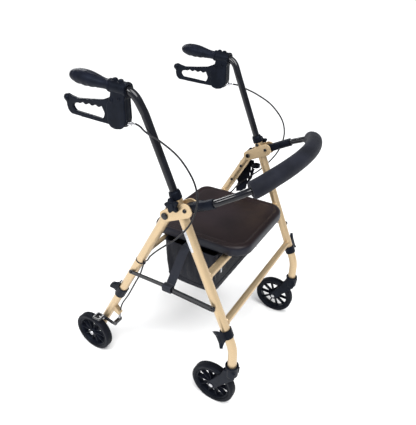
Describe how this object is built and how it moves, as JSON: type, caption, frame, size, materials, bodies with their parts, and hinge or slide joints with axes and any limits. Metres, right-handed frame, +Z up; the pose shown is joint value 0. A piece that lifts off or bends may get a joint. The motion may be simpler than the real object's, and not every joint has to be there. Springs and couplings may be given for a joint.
{
  "type": "rollator walker",
  "caption": "Folding four-wheeled walking frame with a padded seat, under-seat bag, bent foam backrest, height-adjustable handles and loop brake levers.",
  "frame": {"origin": "centre of the footprint on the floor, under the middle of the overall box", "axes": "+Z up, -Y the way the user walks, +X the user's left side"},
  "size_m": [0.605, 0.7138, 1.0058],
  "materials": {
    "frame_champagne": "satin metallic",
    "tube_black": "gloss",
    "moulded_black": "satin",
    "grip_rubber": "matte",
    "tyre_black": "matte",
    "seat_cover": "satin, fine grain",
    "backrest_foam": "matte",
    "bag_cloth": "woven, matte",
    "webbing": "woven",
    "axle_steel": "plated",
    "cable_jacket": "satin"
  },
  "bodies": {
    "front_frame": {"left_front_leg": "frame_champagne", "right_front_leg": "frame_champagne", "upper_front_crossbar": "frame_champagne", "lower_front_crossbar": "frame_champagne", "left_outer_hinge_plate": "frame_champagne", "right_outer_hinge_plate": "frame_champagne", "left_inner_hinge_plate": "frame_champagne", "right_inner_hinge_plate": "frame_champagne", "left_height_collar": "moulded_black", "right_height_collar": "moulded_black", "left_front_guard_clip": "moulded_black", "right_front_guard_clip": "moulded_black", "left_fold_pin": "tube_black", "right_fold_pin": "tube_black", "bag": "bag_cloth", "lift_strap": "webbing", "left_brake_cable": "cable_jacket", "right_brake_cable": "cable_jacket"},
    "rear_frame": {"left_rear_leg": "frame_champagne", "right_rear_leg": "frame_champagne", "rear_crossbar": "frame_champagne", "left_rear_guard_clip": "moulded_black", "right_rear_guard_clip": "moulded_black", "left_rear_axle": "axle_steel", "right_rear_axle": "axle_steel", "stick_holder": "moulded_black"},
    "seat": {"seat_board": "moulded_black", "seat_pad": "seat_cover"},
    "backrest": {"backrest_tube": "tube_black", "backrest_foam": "backrest_foam", "left_backrest_socket": "moulded_black", "right_backrest_socket": "moulded_black"},
    "left_handle": {"left_handle_tube": "tube_black", "left_grip": "grip_rubber", "left_lever_housing": "moulded_black"},
    "left_lever": {"left_brake_lever": "moulded_black"},
    "left_star_knob": {"left_star_knob": "moulded_black"},
    "left_caster": {"left_caster_fork": "moulded_black", "left_front_axle": "axle_steel"},
    "left_front_wheel": {"left_front_rim": "moulded_black", "left_front_tyre": "tyre_black"},
    "left_rear_wheel": {"left_rear_rim": "moulded_black", "left_rear_tyre": "tyre_black"},
    "left_brake_arm": {"left_brake_arm": "tube_black"},
    "left_front_stay": {"left_front_stay": "tube_black"},
    "left_rear_stay": {"left_rear_stay": "tube_black"},
    "right_handle": {"right_handle_tube": "tube_black", "right_grip": "grip_rubber", "right_lever_housing": "moulded_black"},
    "right_lever": {"right_brake_lever": "moulded_black"},
    "right_star_knob": {"right_star_knob": "moulded_black"},
    "right_caster": {"right_caster_fork": "moulded_black", "right_front_axle": "axle_steel"},
    "right_front_wheel": {"right_front_rim": "moulded_black", "right_front_tyre": "tyre_black"},
    "right_rear_wheel": {"right_rear_rim": "moulded_black", "right_rear_tyre": "tyre_black"},
    "right_brake_arm": {"right_brake_arm": "tube_black"},
    "right_front_stay": {"right_front_stay": "tube_black"},
    "right_rear_stay": {"right_rear_stay": "tube_black"}
  },
  "joints": [
    {"name": "fold", "type": "hinge", "parent": "front_frame", "child": "rear_frame", "pos_m": [0, -0.055, 0.658], "axis": [-1, 0, 0], "range_deg": [0, 30], "deforming": ["bag", "lift_strap", "left_brake_cable", "right_brake_cable"]},
    {"name": "seat_flip", "type": "hinge", "parent": "front_frame", "child": "seat", "pos_m": [0, -0.172, 0.485], "axis": [1, 0, 0], "range_deg": [0, 80]},
    {"name": "backrest_lift", "type": "hinge", "parent": "front_frame", "child": "backrest", "pos_m": [0, -0.119, 0.692], "axis": [-1, 0, 0], "range_deg": [0, 55]},
    {"name": "left_handle_height", "type": "slide", "parent": "front_frame", "child": "left_handle", "axis": [0, 0.3809, 0.9246], "range_m": [-0.125, 0.025], "deforming": ["left_brake_cable"]},
    {"name": "left_brake_lever", "type": "hinge", "parent": "left_handle", "child": "left_lever", "pos_m": [0.257, 0.09, 0.944], "axis": [1, 0, 0], "range_deg": [0, 12], "stiffness_Nm_per_rad": 3},
    {"name": "left_star_knob_turn", "type": "hinge", "parent": "front_frame", "child": "left_star_knob", "pos_m": [0.277, -0.08547, 0.702], "axis": [1, 0, 0], "range_deg": [0, 1080]},
    {"name": "left_caster_swivel", "type": "hinge", "parent": "front_frame", "child": "left_caster", "pos_m": [0.25, -0.268, 0.185], "axis": [0, 0, 1], "continuous": true},
    {"name": "left_front_wheel_spin", "type": "hinge", "parent": "left_caster", "child": "left_front_wheel", "pos_m": [0.25, -0.205, 0.075], "axis": [1, 0, 0], "continuous": true},
    {"name": "left_rear_wheel_spin", "type": "hinge", "parent": "rear_frame", "child": "left_rear_wheel", "pos_m": [0.284, 0.282, 0.075], "axis": [1, 0, 0], "continuous": true},
    {"name": "left_brake_arm_pivot", "type": "hinge", "parent": "rear_frame", "child": "left_brake_arm", "pos_m": [0.268, 0.23865, 0.15], "axis": [-1, 0, 0], "range_deg": [0, 4.5]},
    {"name": "left_front_stay_pivot", "type": "hinge", "parent": "front_frame", "child": "left_front_stay", "pos_m": [0.268, -0.208, 0.405], "axis": [1, 0, 0], "range_deg": [0, 41.08]},
    {"name": "left_rear_stay_pivot", "type": "hinge", "parent": "rear_frame", "child": "left_rear_stay", "pos_m": [0.268, 0.088, 0.413], "axis": [-1, 0, 0], "range_deg": [0, 42.86]},
    {"name": "right_handle_height", "type": "slide", "parent": "front_frame", "child": "right_handle", "axis": [0, 0.3809, 0.9246], "range_m": [-0.125, 0.025], "deforming": ["right_brake_cable"]},
    {"name": "right_brake_lever", "type": "hinge", "parent": "right_handle", "child": "right_lever", "pos_m": [-0.257, 0.09, 0.944], "axis": [1, 0, 0], "range_deg": [0, 12], "stiffness_Nm_per_rad": 3},
    {"name": "right_star_knob_turn", "type": "hinge", "parent": "front_frame", "child": "right_star_knob", "pos_m": [-0.277, -0.08547, 0.702], "axis": [-1, 0, 0], "range_deg": [0, 1080]},
    {"name": "right_caster_swivel", "type": "hinge", "parent": "front_frame", "child": "right_caster", "pos_m": [-0.25, -0.268, 0.185], "axis": [0, 0, 1], "continuous": true},
    {"name": "right_front_wheel_spin", "type": "hinge", "parent": "right_caster", "child": "right_front_wheel", "pos_m": [-0.25, -0.205, 0.075], "axis": [1, 0, 0], "continuous": true},
    {"name": "right_rear_wheel_spin", "type": "hinge", "parent": "rear_frame", "child": "right_rear_wheel", "pos_m": [-0.284, 0.282, 0.075], "axis": [1, 0, 0], "continuous": true},
    {"name": "right_brake_arm_pivot", "type": "hinge", "parent": "rear_frame", "child": "right_brake_arm", "pos_m": [-0.268, 0.23865, 0.15], "axis": [-1, 0, 0], "range_deg": [0, 4.5]},
    {"name": "right_front_stay_pivot", "type": "hinge", "parent": "front_frame", "child": "right_front_stay", "pos_m": [-0.268, -0.208, 0.405], "axis": [1, 0, 0], "range_deg": [0, 41.08]},
    {"name": "right_rear_stay_pivot", "type": "hinge", "parent": "rear_frame", "child": "right_rear_stay", "pos_m": [-0.268, 0.088, 0.413], "axis": [-1, 0, 0], "range_deg": [0, 42.86]}
  ],
  "couplings": [
    {"joint": "left_brake_arm_pivot", "follows": "left_brake_lever", "ratio": 0.375},
    {"joint": "left_front_stay_pivot", "follows": "fold", "ratio": 1.3526},
    {"joint": "left_rear_stay_pivot", "follows": "fold", "ratio": 1.412},
    {"joint": "right_brake_arm_pivot", "follows": "right_brake_lever", "ratio": 0.375},
    {"joint": "right_front_stay_pivot", "follows": "fold", "ratio": 1.3526},
    {"joint": "right_rear_stay_pivot", "follows": "fold", "ratio": 1.412}
  ]
}
